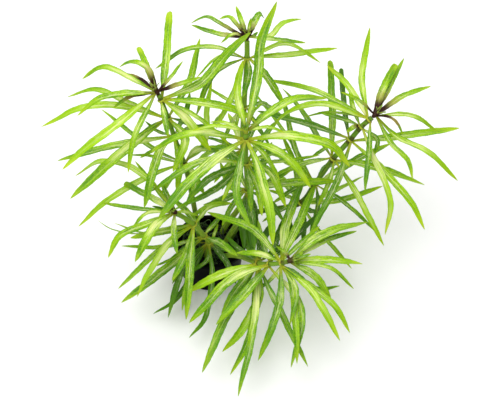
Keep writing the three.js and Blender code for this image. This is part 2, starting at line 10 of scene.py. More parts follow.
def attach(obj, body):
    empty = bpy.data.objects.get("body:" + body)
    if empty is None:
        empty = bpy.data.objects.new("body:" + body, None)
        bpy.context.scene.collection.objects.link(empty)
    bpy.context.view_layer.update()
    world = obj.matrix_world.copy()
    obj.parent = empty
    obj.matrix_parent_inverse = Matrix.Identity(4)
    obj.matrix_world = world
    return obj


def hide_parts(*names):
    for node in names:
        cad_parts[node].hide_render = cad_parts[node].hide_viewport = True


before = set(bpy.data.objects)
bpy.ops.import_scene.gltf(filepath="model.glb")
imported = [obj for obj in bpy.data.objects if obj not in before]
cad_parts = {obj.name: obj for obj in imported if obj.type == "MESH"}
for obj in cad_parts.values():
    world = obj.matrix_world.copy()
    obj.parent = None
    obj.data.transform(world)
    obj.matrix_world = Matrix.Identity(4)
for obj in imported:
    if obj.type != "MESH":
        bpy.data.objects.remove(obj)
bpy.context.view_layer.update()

metre = 0.001  # one millimetre of the layout
print("frame loaded:", len(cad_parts), "solids")

# The line of sight of the layout: 45 degrees down onto the plant, a pixel of the picture is 0.65 mm
sight = dict(angle=math.radians(45), distance=900.0, target=(26.3, 6.0, 60.0), pixel=0.65,
             middle=(250, 200), pictureWidth=500)
sightUp = np.array([0, math.sin(sight["angle"]), math.cos(sight["angle"])])
towardEye = np.array([0, -math.cos(sight["angle"]), math.sin(sight["angle"])])
eye = np.array(sight["target"]) + towardEye * sight["distance"]


def placeInSight(place, depth):
    # where the ray through a place of the picture crosses the upright plane at that depth behind the target
    across = (place[0] - sight["middle"][0]) * sight["pixel"]
    up = (sight["middle"][1] - place[1]) * sight["pixel"]
    ray = np.array(sight["target"]) + np.array([across, 0, 0]) + sightUp * up - eye
    return eye + ray * (sight["target"][1] + depth - eye[1]) / ray[1]


def leaf(wide, back, *places, hue="green", brown=0.25, blunt=False):
    # Its greatest width in mm, how many mm its tip lies behind its node (below zero: in front of it), then
    # the places that its middle line passes in the picture, the last of them its tip. brown is the share
    # of a young leaf's length that is brown, and a blunt leaf has no point.
    return dict(wide=wide, back=back, places=places, hue=hue, brown=brown, blunt=blunt)


# the other kinds of leaf: in deep shade, old or shaded, yellowish, and with a purple-brown foot
deep, dark, pale, young = (partial(leaf, hue=hue) for hue in ("deep", "dark", "pale", "young"))


def addWhorl(shoot, name, at, depth, leaves):
    # the leaves of one node, its place in the picture and how many mm it lies behind the target
    node = placeInSight(at, depth)
    shoot["whorls"].append(dict(name=name, at=at, depth=depth, node=node, leaves=leaves))


# For each shoot: the radius of its stem in mm, the foot where that leaves the medium, the places and depths
# of its bends under the lowest whorl, how brown its heart is, how pale its stem is, and the painted light
# that makes its leaves lighter (below zero: painted shade, darker). Its whorls follow from the lowest one
# up to the crown.
leftShoot = dict(name="left_shoot", radius=1.9, foot=(-7, 2), bends=[((190, 186), 6)],
                 heart=1, pale=0.1, shadeTint=0.05, whorls=[])
addWhorl(leftShoot, "whorl_4", (184, 163), 8, [
    pale(4.5, -30, (155, 174), (110, 199), (78, 227)),
    leaf(2.3, 6, (150, 156), (128, 155)),
    leaf(3, 46, (152, 148), (101, 109)),
    pale(3.8, 62, (204, 145), (207, 110), (212, 80)),
    leaf(4.5, 20, (196, 150), (222, 152)),
    leaf(3.8, -22, (196, 180), (186, 207)),
    leaf(2.6, -16, (172, 178), (160, 196)),
    leaf(4.2, -10, (192, 172), (204, 194)),
])
addWhorl(leftShoot, "whorl_3", (174, 136), 10.5, [
    leaf(5.4, -6, (115, 146), (57, 161)),
    dark(2.3, 8, (157, 131), (145, 121)),
    leaf(4.2, -22, (179, 160), (177, 193)),
    leaf(5.2, -48, (160, 151), (144, 208)),
    dark(3, 14, (190, 128), (212, 126)),
    leaf(2.6, -10, (160, 146), (140, 158)),
    dark(3.4, 34, (186, 112), (190, 92)),
])
addWhorl(leftShoot, "whorl_2", (168, 118), 12, [
    pale(4.5, 10, (130, 108), (90, 106), (41, 127)),
    leaf(6, -42, (140, 138), (110, 163), (70, 199)),
    leaf(3.8, 18, (130, 104), (98, 90), (67, 97)),
    leaf(5.2, -24, (185, 140), (173, 172)),
    leaf(4.5, 60, (190, 80), (200, 38)),
    dark(2.6, -14, (150, 128), (128, 148)),
    dark(3, -6, (188, 124), (208, 142)),
])
addWhorl(leftShoot, "whorl_1", (161, 100), 13.5, [
    leaf(6, 24, (200, 84), (230, 51), (251, 32)),
    leaf(5.2, -2, (205, 103), (240, 112), (256, 122)),
    pale(5.2, -18, (183, 116), (211, 151)),
    leaf(4.8, 50, (166, 60), (170, 11), blunt=True),
    leaf(3.4, -18, (165, 118), (168, 137)),
    leaf(3, -16, (200, 119), (230, 145)),
])
addWhorl(leftShoot, "crown", (157, 92), 14.2, [
    leaf(3.8, 12, (130, 78), (104, 67), (82, 79)),
    leaf(4.5, -8, (104, 97), (77, 116)),
    young(3, -6, (130, 97), (113, 108), brown=0.4),
    pale(5, -44, (120, 122), (80, 153), (62, 170)),
    leaf(3.4, -40, (142, 120), (132, 145), (128, 173)),
    young(3.8, 30, (145, 62), (138, 47), blunt=True),
    young(3.8, 20, (147, 68), (132, 62), (119, 67)),
    young(2.3, 16, (140, 79), (124, 73), brown=0.6),
    young(2.3, 10, (170, 78), (183, 61)),
    young(3, 8, (180, 84), (201, 77), brown=0.3),
])
backShoot = dict(name="back_shoot", radius=2.1, foot=(8, 11), bends=[((249, 190), 19)],
                 heart=1, pale=0.8, shadeTint=0.05, whorls=[])
addWhorl(backShoot, "whorl_3", (243, 150), 26, [
    leaf(4.5, 14, (220, 148), (196, 162)),
    leaf(4.5, 16, (265, 148), (290, 166)),
    pale(3.8, 30, (236, 130), (228, 113)),
    dark(3, 10, (225, 143), (204, 137)),
    dark(3, -18, (252, 170), (262, 196)),
    dark(3, -16, (232, 168), (222, 190)),
    dark(3.4, 30, (252, 132), (262, 112)),
    pale(3, -10, (228, 165), (214, 183)),
    dark(2.6, -6, (222, 160), (199, 173)),
])
addWhorl(backShoot, "whorl_2", (244, 107), 33, [
    leaf(2.3, 16, (228, 100), (207, 87)),
    leaf(2, -12, (238, 118), (236, 130)),
    dark(4.5, 10, (262, 104), (285, 118)),
    leaf(3.8, 6, (230, 108), (208, 132)),
    dark(2.6, -14, (256, 124), (270, 146)),
    leaf(2.6, -14, (232, 122), (222, 146)),
])
addWhorl(backShoot, "whorl_1", (247, 58), 41, [
    leaf(3, 8, (215, 47), (185, 50), (155, 69)),
    leaf(1.6, -6, (222, 55), (196, 78)),
    dark(3.8, -20, (215, 73), (196, 116)),
    pale(3.8, -30, (235, 90), (216, 129)),
    dark(4.2, -16, (249, 72), (243, 98)),
    pale(3.8, 6, (285, 44), (321, 63)),
    pale(3.8, 14, (295, 54), (338, 48)),
    leaf(5, -20, (264, 74), (286, 108)),
])
addWhorl(backShoot, "crown", (247, 37), 44, [
    young(3, 20, (243, 26), (236, 6)),
    young(4.2, 14, (255, 21), (260, 14), (264, 18)),
    young(2, 4, (249, 28), (251, 18)),
    young(3, 12, (237, 25), (229, 17), (219, 19)),
    young(3, 14, (227, 28), (207, 17), (191, 23)),
    young(3.4, -2, (218, 34), (191, 25)),
    young(2, -4, (233, 34), (221, 43)),
    pale(3.8, 18, (269, 37), (284, 23), (302, 19)),
    leaf(3, -4, (280, 40), (306, 43)),
    young(2, 3, (253, 36), (258, 32)),
])
rightShoot = dict(name="right_shoot", radius=2.1, foot=(13, 4), bends=[((250, 215), 5)],
                  heart=1, pale=0, shadeTint=0.05, whorls=[])
addWhorl(rightShoot, "whorl_6", (300, 203), 8.5, [
    pale(3.4, 26, (325, 196), (364, 176)),
    leaf(3.8, 16, (340, 200), (383, 186)),
    leaf(3, -34, (318, 230), (352, 269)),
    dark(4, -4, (310, 211), (321, 212)),
    leaf(4.5, 38, (284, 182), (265, 166)),
    leaf(3.4, 44, (296, 170), (282, 134)),
    dark(3, -18, (285, 208), (262, 222)),
    deep(3.4, -24, (304, 222), (303, 245)),
    leaf(3, 8, (286, 196), (268, 190)),
])
addWhorl(rightShoot, "whorl_5", (315, 184), 10.5, [
    leaf(4.5, 38, (358, 159), (392, 143)),
    dark(3, -22, (345, 203), (376, 232)),
    leaf(3.4, 66, (297, 155), (283, 103), (268, 83)),
    leaf(2.3, 80, (290, 140), (251, 88)),
    leaf(4.5, 20, (290, 160), (262, 152)),
    dark(4.5, 38, (326, 168), (352, 160)),
    dark(3, -6, (296, 188), (272, 204)),
    dark(3, -26, (318, 206), (310, 232)),
])
addWhorl(rightShoot, "whorl_4", (333, 159), 13, [
    leaf(4.5, 60, (332, 105), (330, 60), blunt=True),
    leaf(5.2, -4, (370, 166), (425, 185)),
    pale(3.8, -40, (353, 188), (384, 246)),
    dark(3.8, 50, (316, 134), (298, 106), (282, 88)),
    leaf(3.8, -8, (300, 165), (266, 181)),
    leaf(3, -24, (330, 180), (318, 206)),
])
addWhorl(rightShoot, "whorl_3", (350, 140), 16, [
    leaf(5.2, 14, (395, 137), (460, 128)),
    pale(4.2, -44, (378, 165), (412, 204), (425, 230)),
    deep(3.4, 54, (344, 105), (341, 68), blunt=True),
    dark(5, 24, (310, 125), (257, 111)),
    dark(4.4, -50, (337, 182), (306, 243)),
    leaf(2.6, -2, (330, 146), (310, 158)),
])
addWhorl(rightShoot, "whorl_2", (361, 127), 19, [
    pale(4.2, -54, (372, 155), (390, 200), (385, 235)),
    leaf(3, -10, (377, 140), (374, 156)),
    young(3, -6, (354, 127), (347, 132)),
    dark(3, 14, (340, 118), (318, 112)),
    leaf(3, 30, (352, 104), (350, 86)),
])
addWhorl(rightShoot, "whorl_1", (369, 120), 20.3, [
    pale(4, 60, (362, 80), (370, 27)),
    dark(3.4, -38, (369, 150), (365, 192)),
    pale(3.8, 44, (348, 86), (327, 65)),
    leaf(3.8, 36, (315, 91), (264, 79)),
    pale(5.2, -4, (320, 104), (290, 112), (268, 130)),
    leaf(1.6, -2, (330, 112), (304, 117)),
])
addWhorl(rightShoot, "crown", (375, 115), 21.2, [
    young(4.4, 40, (385, 84), (396, 64), blunt=True),
    young(3.4, 48, (391, 84), (404, 58)),
    young(4, 26, (402, 97), (431, 86)),
    leaf(3, -2, (410, 115), (438, 132)),
    young(1.8, -10, (389, 117), (397, 123), (403, 135), brown=0.42),
    young(2.3, 4, (360, 101), (341, 92)),
    pale(4, -26, (398, 138), (425, 150), (458, 181)),
    leaf(3.2, -34, (391, 143), (408, 161), (413, 180)),
])
middleShoot = dict(name="middle_shoot", radius=1.8, foot=(9, -2), bends=[((244, 211), -7)],
                   heart=0.35, pale=0.4, shadeTint=0, whorls=[])
addWhorl(middleShoot, "whorl_3", (247, 190), -10, [
    deep(4.5, -30, (243, 221), (244, 249)),
    deep(3.6, -32, (247, 222), (251, 250)),
    dark(4, -34, (253, 222), (255, 250)),
    leaf(5.2, 12, (290, 183), (337, 181)),
    dark(4, 2, (220, 200), (192, 216)),
    dark(4.5, 42, (235, 165), (225, 140)),
    dark(4.5, 42, (262, 165), (272, 142)),
    leaf(3.8, 20, (231, 187), (220, 162)),
    deep(4.2, -24, (254, 208), (256, 236)),
    dark(3.4, -16, (268, 200), (284, 222)),
    dark(3.4, -14, (232, 206), (222, 226)),
    dark(3, 12, (270, 182), (292, 170)),
    dark(3, -6, (225, 200), (203, 205)),
])
addWhorl(middleShoot, "whorl_2", (246, 163), -12, [
    leaf(4.5, -22, (270, 172), (286, 207)),
    dark(4.5, -14, (208, 180), (190, 198)),
    dark(5.2, -20, (215, 190), (172, 211)),
    leaf(5.2, -10, (205, 161), (150, 192)),
    leaf(2.3, 6, (285, 161), (320, 155)),
    dark(3.8, -28, (250, 188), (251, 212)),
    dark(4, 24, (262, 140), (280, 118)),
    leaf(3.8, -26, (258, 188), (262, 216)),
    dark(3, 10, (228, 150), (208, 146)),
    leaf(3, 10, (266, 156), (292, 148)),
    pale(3, -14, (234, 178), (222, 201)),
])
addWhorl(middleShoot, "whorl_1", (246, 139), -12, [
    pale(5.6, -8, (290, 136), (330, 145), (350, 167)),
    pale(5.2, -22, (285, 156), (311, 188)),
    dark(4.6, -46, (240, 165), (237, 195), (251, 228)),
    leaf(6, -56, (257, 165), (270, 215), (273, 246)),
    leaf(5.2, -4, (205, 133), (175, 138), (151, 153)),
    leaf(6.6, -40, (215, 160), (190, 182), (158, 219)),
    leaf(3.8, -18, (262, 152), (280, 180)),
    leaf(3, -12, (228, 150), (206, 168)),
])
addWhorl(middleShoot, "crown", (246, 131), -12, [
    leaf(5.6, 56, (258, 75), (260, 45), (277, 1)),
    pale(4.5, 36, (237, 90), (243, 60)),
    young(2.3, 20, (253, 112), (263, 103)),
    leaf(5.8, 28, (290, 101), (327, 98)),
    pale(2.3, -4, (268, 127), (285, 133)),
    pale(2.3, 8, (226, 123), (210, 122)),
    pale(3, -5, (215, 126), (192, 131)),
])
frontShoot = dict(name="front_shoot", radius=1.9, foot=(9, -13), bends=[((238, 256), -34)],
                  heart=0.7, pale=0.5, shadeTint=-0.18, whorls=[])
addWhorl(frontShoot, "whorl_3", (258, 263), -48, [
    pale(5.2, -8, (220, 275), (187, 292)),
    leaf(4.5, -28, (236, 290), (221, 317)),
    leaf(5.2, -48, (259, 297), (240, 332), (222, 352)),
    leaf(4.2, -76, (254, 325), (238, 397)),
    leaf(4.5, -62, (250, 335), (230, 375)),
    dark(5.2, -58, (226, 318), (202, 373)),
    dark(3.8, -62, (282, 315), (308, 367)),
    deep(4.5, 34, (262, 245), (270, 224)),
    deep(3.4, 14, (240, 250), (226, 236)),
    dark(3.8, 26, (250, 245), (246, 222)),
    deep(3.4, 24, (276, 250), (296, 236)),
    dark(3.4, 20, (251, 252), (240, 232)),
    deep(3.8, 22, (260, 248), (257, 230)),
])
addWhorl(frontShoot, "whorl_2", (269, 264), -53.5, [
    leaf(3.8, -58, (302, 310), (291, 368)),
    leaf(6, -32, (250, 288), (216, 325)),
    leaf(5.6, -26, (235, 277), (189, 323)),
    deep(3.8, 36, (276, 240), (286, 214)),
    deep(3.8, 46, (298, 234), (322, 211)),
    dark(3, 26, (262, 240), (258, 220)),
])
addWhorl(frontShoot, "whorl_1", (281, 263), -56, [
    leaf(5.6, 64, (287, 220), (304, 178)),
    pale(3.8, -36, (315, 290), (335, 306), (350, 333)),
    pale(4.5, -46, (312, 292), (340, 341)),
    dark(3, -8, (318, 289), (340, 286)),
    leaf(3, -36, (296, 290), (290, 325)),
    dark(4.6, -60, (279, 305), (258, 361)),
    leaf(4.2, -56, (290, 280), (295, 310), (297, 364)),
    deep(4.5, 38, (289, 238), (289, 215)),
    leaf(5, 58, (299, 222), (316, 183)),
    leaf(2.6, -2, (270, 281), (253, 292)),
    leaf(3.8, 8, (260, 254), (236, 253)),
    leaf(4.5, 30, (255, 231), (207, 212)),
    leaf(3, 26, (298, 246), (320, 226)),
    dark(3.4, -18, (298, 276), (314, 292)),
])
addWhorl(frontShoot, "crown", (290, 261), -56.5, [
    pale(5, 4, (325, 260), (363, 264)),
    leaf(2.5, -12, (330, 268), (354, 289)),
    leaf(5.8, 32, (322, 235), (368, 222)),
    leaf(3.8, 24, (325, 241), (357, 231)),
    young(2.4, 3, (298, 256), (303, 252)),
    young(2.4, 1, (302, 257), (311, 254)),
    leaf(4.8, -15, (314, 276), (331, 299)),
    young(2.2, 12, (286, 254), (276, 246)),
])
frontLeftShoot = dict(name="front_left_shoot", radius=1.9, foot=(-2, -11), bends=[],
                      heart=0.8, pale=1, shadeTint=-0.15, whorls=[])
addWhorl(frontLeftShoot, "whorl_3", (209, 242), -18.5, [
    dark(3.4, -59, (212, 275), (205, 318), (189, 338)),
    dark(3, -40, (175, 300), (153, 314)),
    dark(3, -44, (188, 262), (179, 282), (168, 318)),
    dark(3, -40, (191, 264), (186, 285), (182, 311)),
    leaf(3.8, 20, (196, 229), (180, 214)),
    pale(2, 8, (214, 235), (218, 224)),
    deep(3.8, -26, (226, 262), (236, 284)),
    dark(3.4, -26, (190, 258), (172, 284)),
    dark(3, -1, (222, 249), (240, 252)),
    dark(1.6, -42, (188, 262), (175, 284), (168, 317)),
    dark(1.4, -8, (190, 244), (176, 256), (188, 284)),
    dark(3, -20, (208, 259), (188, 274)),
    dark(1.6, -34, (191, 268), (184, 292), (172, 306)),
])
addWhorl(frontLeftShoot, "whorl_2", (204, 236), -20, [
    leaf(3, 4, (165, 247), (121, 246)),
    leaf(3, 16, (213, 225), (222, 215)),
    dark(4.5, -28, (220, 243), (238, 256)),
    leaf(5.6, -34, (185, 253), (155, 278), (121, 303)),
    leaf(2, -12, (180, 255), (153, 267)),
    leaf(3.8, 30, (190, 215), (172, 198)),
    leaf(3, -14, (188, 248), (166, 262)),
])
addWhorl(frontLeftShoot, "whorl_1", (194, 224), -24, [
    leaf(4.5, 4, (210, 207), (232, 203)),
    leaf(4.5, -32, (188, 250), (172, 281)),
    leaf(5.2, -54, (190, 265), (186, 320)),
    leaf(4.5, -2, (165, 231), (130, 238)),
    pale(5.2, -40, (172, 240), (152, 268), (137, 297)),
    leaf(3.4, -32, (153, 256), (118, 289)),
    pale(1.5, 2, (145, 233), (114, 223)),
    dark(3, 12, (176, 214), (152, 206)),
])
addWhorl(frontLeftShoot, "crown", (175, 212), -27, [
    leaf(4.2, 22, (150, 197), (124, 183), blunt=True),
    leaf(3, 42, (155, 187), (135, 161)),
    pale(3.8, 34, (140, 173), (105, 161), (75, 176)),
    young(3, 24, (167, 195), (161, 181)),
    leaf(3, 8, (140, 209), (102, 203)),
    leaf(2.6, -6, (148, 213), (130, 231)),
    pale(4.4, -20, (142, 226), (119, 237), (108, 258)),
    leaf(5.6, -26, (156, 225), (135, 262)),
    leaf(3.6, -22, (174, 231), (177, 254)),
    pale(2.3, -2, (186, 212), (198, 216)),
    pale(0.8, -10, (142, 233), (114, 230), (97, 220)),
])
shoots = [leftShoot, backShoot, rightShoot, middleShoot, frontShoot, frontLeftShoot]


def unit(vectors):
    # every vector divided by its own length
    length = np.linalg.norm(vectors, axis=-1, keepdims=True)
    return vectors / np.maximum(length, 1e-9)


def stretches(points):
    # the distance from each point to the next
    return np.linalg.norm(np.diff(points, axis=0), axis=1)


def headings(path):
    # the direction in which a path runs at each of its points
    return unit(np.gradient(path, axis=0))


def crossAxes(forward):
    # two directions square to each direction and to each other, without sudden turns along a path
    helper = np.array([0.3, 1.0, 0.1])
    first = unit(np.cross(forward, helper))
    return first, np.cross(forward, first)


def circle(count):
    # evenly spaced angles of one full turn
    return np.linspace(0, 2 * math.pi, count, endpoint=False)


def carried(path, first, second, x, y):
    # a section carried along a path: x counts along the first direction and y along the second
    return path[..., None, :] + first[..., None, :] * x[..., None] + second[..., None, :] * y[..., None]


def smoothPath(points, count):
    # A centripetal Catmull-Rom curve through the points: each stretch is a cubic whose end slopes come from
    # the square roots of the distances between neighbours. Then count points are set evenly along it.
    points = np.array(points, float)
    ends = np.vstack([2 * points[0] - points[1], points, 2 * points[-1] - points[-2]])
    step = np.maximum(stretches(ends) ** 0.5, 1e-6)
    t = np.linspace(0, 1, 60)[:, None]  # 60 points on each cubic
    cubics = []
    for i in range(1, len(ends) - 2):
        before, here, after, beyond = ends[i - 1], ends[i], ends[i + 1], ends[i + 2]
        slopeIn = ((here - before) / step[i - 1] - (after - before) / (step[i - 1] + step[i])
                   + (after - here) / step[i]) * step[i]
        slopeOut = ((after - here) / step[i] - (beyond - here) / (step[i] + step[i + 1])
                    + (beyond - after) / step[i + 1]) * step[i]
        cubic = 2 * here - 2 * after + slopeIn + slopeOut
        square = -3 * here + 3 * after - 2 * slopeIn - slopeOut
        cubics.append(cubic * t ** 3 + square * t ** 2 + slopeIn * t + here)
    line = np.vstack(cubics)
    run = np.concatenate([[0], np.cumsum(stretches(line))])
    even = np.linspace(0, run[-1], count)
    return np.stack([np.interp(even, run, line[:, axis]) for axis in range(3)], axis=1)


def addObject(name, data):
    made = bpy.data.objects.new(name, data)
    bpy.context.scene.collection.objects.link(made)
    return made


class Shape:
    # grids of points joined into one mesh, with a UV and a few values for each point
    def __init__(self):
        self.points, self.faces, self.uv = [], [], []
        self.values = {}
        self.total = 0

    def add(self, points, faces, uv, values):
        self.points.append(points)
        self.faces += faces
        self.uv.append(uv)
        for name, value in values.items():
            self.values.setdefault(name, []).append(value)
        self.total += len(points)

    def tube(self, rings, u, v, tip=None, **values):
        # rings is (rows, columns, 3): each row is one closed loop of the section. Both ends are closed by
        # a fan round the middle of their row, the far one round the tip if there is one.
        rows, columns = rings.shape[:2]
        index = np.arange(rows * columns).reshape(rows, columns) + self.total
        beside = np.roll(index, -1, axis=1)
        quads = np.stack([index[:-1], beside[:-1], beside[1:], index[1:]], axis=-1).reshape(-1, 4)
        first = np.full(columns, self.total + rows * columns)
        near = np.stack([first, beside[0], index[0]], axis=-1)
        far = np.stack([first + 1, index[-1], beside[-1]], axis=-1)

        def flat(value):
            # one number for each point of the rings, then one for each end
            grid = np.broadcast_to(value, (rows, columns))
            return np.concatenate([grid.ravel(), [grid[0].mean(), grid[-1].mean()]])
        ends = [rings[0].mean(axis=0), rings[-1].mean(axis=0) if tip is None else tip]
        uv = np.stack([flat(u), flat(v)], axis=-1)
        uv[-2:, 0] = 0.5
        self.add(np.vstack([rings.reshape(-1, 3), ends]), quads.tolist() + near.tolist() + far.tolist(), uv,
                 {name: flat(value) for name, value in values.items()})

    def piece(self, name, material, slot, node):
        # the finished object, smooth, riding on the plant and standing for its solid
        mesh = bpy.data.meshes.new(name)
        mesh.from_pydata((np.vstack(self.points) * metre).tolist(), [], self.faces)
        mesh.polygons.foreach_set("use_smooth", np.ones(len(mesh.polygons), bool))
        corners = np.empty(len(mesh.loops), np.int32)
        mesh.loops.foreach_get("vertex_index", corners)
        layer = mesh.uv_layers.new(name="leafUV")
        layer.data.foreach_set("uv", np.vstack(self.uv)[corners].ravel())
        for key, grids in self.values.items():
            attribute = mesh.attributes.new(key, "FLOAT", "POINT")
            attribute.data.foreach_set("value", np.concatenate(grids).astype(np.float32))
        mesh.materials.append(material)
        mesh.update()
        made = addObject(name, mesh)
        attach(made, "root")
        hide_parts(node)


leafForm = dict(
    stations=60, edge=9,  # rows along the blade, points across its top
    foot=0.34, youngFoot=0.6, fullAt=0.36, breadth=1.1,  # its width at the foot, and where it is full
    taper=6.0, point=0.8, bluntTaper=40.0, bluntPoint=0.5, bluntSlope=0.15,  # how its end narrows
    fold=0.26, foldPower=1.2, groove=0.24, thickness=0.28, thinEdge=0.3, thinEnd=0.45,
    midrib=0.34, midribWidth=0.13, midribFade=0.6,
    ripple=0.18, waves=3.2, wear=0.04, wearWaves=(14, 31), fineWear=0.6,  # along both edges
    faceEye=0.5, roll=0.34, firstRoll=0.4, twist=0.5,
    wander=0.18, wanderWave=5.5, lift=0.2, liftWave=4.2, freeAt=55.0,  # a shorter leaf waves less
    toneSpread=0.3)
# how light each hue is painted: deep leaves are darkened by painted shade, dark ones are old and shaded
# leaves, pale ones are lighter
hueTone = dict(deep=-1.7, dark=-0.75, green=0.0, young=0.0, pale=0.7)
brownReach = 0.23  # the share of the length that is brown where youth is 1


def leafWidth(along, blunt, foot):
    # Narrow at the foot, swelling on a smooth step to full width, then 1 minus a power of the length, so
    # that the sides stay nearly parallel and run into a point. A blunt leaf has a far higher power.
    form = leafForm
    rise = np.clip(along / form["fullAt"], 0, 1)
    swell = foot + (1 - foot) * rise * rise * (3 - 2 * rise)
    if blunt:
        taper = np.clip(1 - along ** form["bluntTaper"], 0, 1) ** form["bluntPoint"]
        taper = taper * (1 - form["bluntSlope"] * along * along)
    else:
        taper = np.clip(1 - along ** form["taper"], 0, 1) ** form["point"]
    return form["breadth"] * swell * taper


def leafPath(row, whorl, axis, reach):
    # from the rim of its node through the places of the row, going evenly deeper on the way to the tip
    seen = np.array([whorl["at"], *row["places"]], float)
    run = np.cumsum(stretches(seen))
    places = [placeInSight(place, whorl["depth"] + row["back"] * far / run[-1])
              for place, far in zip(seen[1:], run)]
    outward = places[0] - whorl["node"]
    outward = unit(outward - axis * outward.dot(axis))
    return smoothPath([whorl["node"] + outward * reach, *places], leafForm["stations"] + 1)


def addLeaf(shape, row, path, seed, youth, shadeTint):
    # The blade is a flat loop carried along its middle line. Across the blade, x runs from -1 to 1: the
    # top is folded up a little towards both edges and has a groove in the middle, the underside lies one
    # thickness lower, with the midrib as a rounded ridge. Both edges ripple, and the blade rolls slowly.
    form = leafForm
    chance = np.random.default_rng(seed)
    forward = headings(path)
    aside = unit(np.cross(forward, np.array([0, 0, 1]) + form["faceEye"] * towardEye))
    above = np.cross(aside, forward)
    along = np.linspace(0, 1, form["stations"] + 1)[:, None]
    sway = chance.uniform(0, 2 * math.pi, 2)
    held = np.sin(math.pi * along)
    length = stretches(path).sum()
    free = min(1, length / form["freeAt"])
    wander = np.sin(length * along / form["wanderWave"] + sway[0])
    lift = np.sin(length * along / form["liftWave"] + sway[1])
    path = path + aside * form["wander"] * free * wander * held
    path = path + above * form["lift"] * free * lift * held
    first = form["firstRoll"]
    roll = form["roll"] * (chance.uniform(-1, 1) * along + chance.uniform(-first, first))
    roll = roll + form["twist"] * free * chance.uniform(-1, 1) * along ** 3
    aside, above = aside * np.cos(roll) + above * np.sin(roll), above * np.cos(roll) - aside * np.sin(roll)

    top = np.sin(np.linspace(-math.pi / 2, math.pi / 2, form["edge"]))
    x = np.concatenate([top, top[-2:0:-1]])[None, :]
    under = np.concatenate([np.zeros(form["edge"]), np.ones(form["edge"] - 2)])[None, :]
    foot = form["youngFoot"] if row["hue"] == "young" else form["foot"]
    half = row["wide"] / 2 * leafWidth(along, row["blunt"], foot)
    share = half / (row["wide"] / 2)
    beat = chance.uniform(0, 2 * math.pi, 4)
    slow, fast = (waves * math.pi * along for waves in form["wearWaves"])
    left, right = (np.sin(slow + beat[i]) + form["fineWear"] * np.sin(fast + beat[i + 2]) for i in range(2))
    half = half * (1 + form["wear"] * np.where(x < 0, left, right) * np.abs(x))
    ridge = np.exp(-(x / form["midribWidth"]) ** 2)
    fold = form["fold"] * half * np.abs(x) ** form["foldPower"]
    groove = form["groove"] * ridge * share
    phase = chance.uniform(0, 2 * math.pi, 2)
    side = np.where(x < 0, phase[0], phase[1])
    ripple = form["ripple"] * np.sin(2 * math.pi * form["waves"] * along + side) * x * x * share
    thick = form["thickness"] * (form["thinEdge"] + (1 - form["thinEdge"]) * (1 - np.abs(x) ** 3))
    thick = thick + form["midrib"] * ridge * (1 - form["midribFade"] * along)
    thick = under * thick * (form["thinEnd"] + (1 - form["thinEnd"]) * share)
    rings = carried(path, aside, above, half * x, fold - groove + ripple - thick)
    # tone: the hue's lightness, a random spread and the shoot's painted light and shade
    tone = hueTone[row["hue"]] + chance.uniform(-form["toneSpread"], form["toneSpread"]) + shadeTint
    if row["hue"] == "young":
        youth = row["brown"] / brownReach
    shape.tube(rings[:-1], x * 0.5 + 0.5, along[:-1], tip=path[-1], tone=tone, youth=youth, under=under)


# leafYouth is how young the leaves of a ring or a bud are, 0 to 1: it makes their feet tan and brown
ringForm = dict(gap=0.35, wall=0.75, height=1.17, around=24, section=10, along=0.03, sunk=0.4,
                leafYouth=0.12)


def addRing(shape, whorl, axis, inner):
    # The leaf bases of a whorl meet in a rounded ring: a small oval section carried round the stem.
    form = ringForm
    turn = circle(form["around"])[:, None]
    oval = circle(form["section"])[None, :]
    first, second = crossAxes(axis)
    radius = inner - form["gap"] + form["wall"] / 2 * (1 + np.cos(oval))
    lift = form["height"] / 2 * np.sin(oval) + 0 * turn
    points = (whorl["node"] + (np.cos(turn) * radius)[..., None] * first
              + (np.sin(turn) * radius)[..., None] * second + lift[..., None] * axis)
    index = np.arange(lift.size).reshape(lift.shape) + shape.total
    beside, onward = np.roll(index, -1, axis=1), np.roll(index, -1, axis=0)
    corner = np.roll(beside, -1, axis=0)
    faces = np.stack([index, onward, corner, beside], axis=-1).reshape(-1, 4).tolist()
    shape.add(points.reshape(-1, 3), faces, np.tile([0.5, form["along"]], (lift.size, 1)),
              {name: np.zeros(lift.size) for name in ("tone", "youth", "under")})


budForm = dict(radius=1.6, height=5.0, around=16, rows=9, end=0.96, across=0.3, along=0.04, root=0.5,
               leafYouth=0.45)
# the small leaves round the bud
scaleForm = dict(count=7, length=(5.0, 9.0), wide=1.5, turn=2.4, lean=0.25, leanMore=0.09, root=0.6,
                 bellyUp=0.55, bellyOut=0.5, bellyMore=0.18, faceUp=0.3, stations=15, section=10,
                 swell=1.4, end=0.05, thick=0.22, cup=0.18, tone=-0.3)


